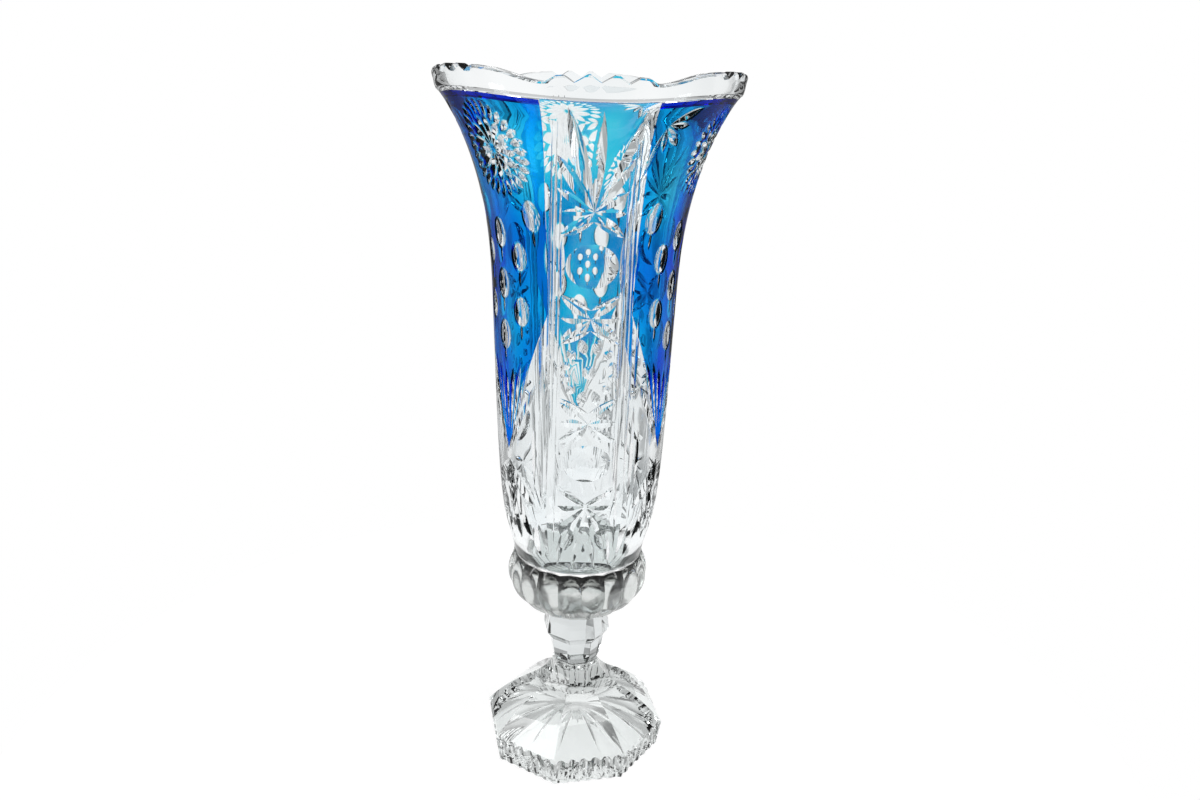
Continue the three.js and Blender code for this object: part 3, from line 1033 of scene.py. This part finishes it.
def add_floor():
    count = 96
    around = np.linspace(0, 2 * math.pi, count, endpoint=False)
    points = np.c_[FLOOR_RADIUS * np.cos(around), FLOOR_RADIUS * np.sin(around), np.full(count, -0.2)]
    floor = mesh_object("floor", points, [tuple(range(count))])
    floor.data.materials.clear()
    floor.data.materials.append(floor_material())
    floor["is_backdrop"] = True


def add_light(name, azimuth, elevation, distance, size, power):
    turn, rise = math.radians(azimuth), math.radians(elevation)
    flat = distance * math.cos(rise)
    place = Vector((flat * math.sin(turn), -flat * math.cos(turn), 0.2 + distance * math.sin(rise)))
    data = bpy.data.lights.new(name, "AREA")
    data.shape = "RECTANGLE"
    data.size, data.size_y = size
    data.energy = power
    light = bpy.data.objects.new(name, data)
    bpy.context.scene.collection.objects.link(light)
    light.location = place
    light.rotation_euler = (Vector((0, 0, 0.2)) - place).to_track_quat("-Z", "Y").to_euler()


def ramp_node(nodes, stops):
    """A colour ramp through grey levels at positions from 0 to 1."""
    ramp = nodes.new("ShaderNodeValToRGB")
    elements = ramp.color_ramp.elements
    while len(elements) < len(stops):
        elements.new(0.5)
    for element, (position, level) in zip(elements, stops):
        element.position = position
        element.color = (level, level, level, 1)
    return ramp


def math_node(nodes, operation, *values):
    node = nodes.new("ShaderNodeMath")
    node.operation = operation
    for socket, value in zip(node.inputs, values):
        if value is not None:
            socket.default_value = value
    return node


def add_world():
    """A white studio with soft upright panels all round and a bright ceiling. The camera sees plain white
    behind the vase, and reflections see the studio dimmed, so that they don't wash out the blue."""
    world = bpy.data.worlds.new("studio")
    bpy.context.scene.world = world
    world.use_nodes = True
    nodes, links = world.node_tree.nodes, world.node_tree.links
    nodes.clear()
    output = nodes.new("ShaderNodeOutputWorld")
    where = nodes.new("ShaderNodeTexCoord")
    split = nodes.new("ShaderNodeSeparateXYZ")
    links.new(where.outputs["Generated"], split.inputs["Vector"])
    turn = math_node(nodes, "ARCTAN2")
    links.new(split.outputs["X"], turn.inputs[0])
    links.new(split.outputs["Y"], turn.inputs[1])
    repeat = math_node(nodes, "MULTIPLY", None, PANELS_ROUND)
    links.new(turn.outputs[0], repeat.inputs[0])
    wave = math_node(nodes, "COSINE")
    links.new(repeat.outputs[0], wave.inputs[0])
    across = nodes.new("ShaderNodeMapRange")
    across.inputs["From Min"].default_value = -1
    links.new(wave.outputs[0], across.inputs["Value"])
    panels = ramp_node(nodes, PANEL_LEVELS)
    links.new(across.outputs["Result"], panels.inputs["Fac"])
    height = nodes.new("ShaderNodeMapRange")
    height.inputs["From Min"].default_value = -1
    links.new(split.outputs["Z"], height.inputs["Value"])
    ceiling = ramp_node(nodes, CEILING_LEVELS)
    links.new(height.outputs["Result"], ceiling.inputs["Fac"])
    level = nodes.new("ShaderNodeMix")
    level.data_type = "RGBA"
    level.blend_type = "MULTIPLY"
    level.inputs["Factor"].default_value = 1
    links.new(panels.outputs["Color"], level.inputs["A"])
    links.new(ceiling.outputs["Color"], level.inputs["B"])
    studio = nodes.new("ShaderNodeBackground")
    links.new(level.outputs["Result"], studio.inputs["Color"])
    plain = nodes.new("ShaderNodeBackground")
    plain.inputs["Color"].default_value = (1, 1, 1, 1)
    seen = nodes.new("ShaderNodeLightPath")
    mirrored = nodes.new("ShaderNodeMapRange")
    mirrored.inputs["To Min"].default_value = MIRRORED_LEVEL
    mirrored.inputs["To Max"].default_value = 1.0
    links.new(seen.outputs["Is Transmission Ray"], mirrored.inputs["Value"])
    links.new(mirrored.outputs["Result"], studio.inputs["Strength"])
    choice = nodes.new("ShaderNodeMixShader")
    links.new(seen.outputs["Is Camera Ray"], choice.inputs["Fac"])
    links.new(studio.outputs["Background"], choice.inputs[1])
    links.new(plain.outputs["Background"], choice.inputs[2])
    links.new(choice.outputs["Shader"], output.inputs["Surface"])


def set_light_paths():
    """Enough bounces for a ray to cross every wall of the vase."""
    scene = bpy.context.scene
    scene.view_settings.view_transform = "Standard"
    scene.cycles.max_bounces = BOUNCES
    scene.cycles.transmission_bounces = BOUNCES
    scene.cycles.transparent_max_bounces = BOUNCES + 4


add_camera()
add_floor()
add_world()
add_light("overhead_softbox", azimuth=20, elevation=80, distance=1.2, size=(0.8, 0.8), power=5)
add_light("left_softbox", azimuth=-75, elevation=30, distance=1.3, size=(0.3, 1.0), power=4)
add_light("right_softbox", azimuth=70, elevation=35, distance=1.3, size=(0.25, 1.0), power=3)
set_light_paths()
build_vase()

visual_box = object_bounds()
[[list(map(float, corner)) for corner in box] for box in (cad_box, visual_box)]
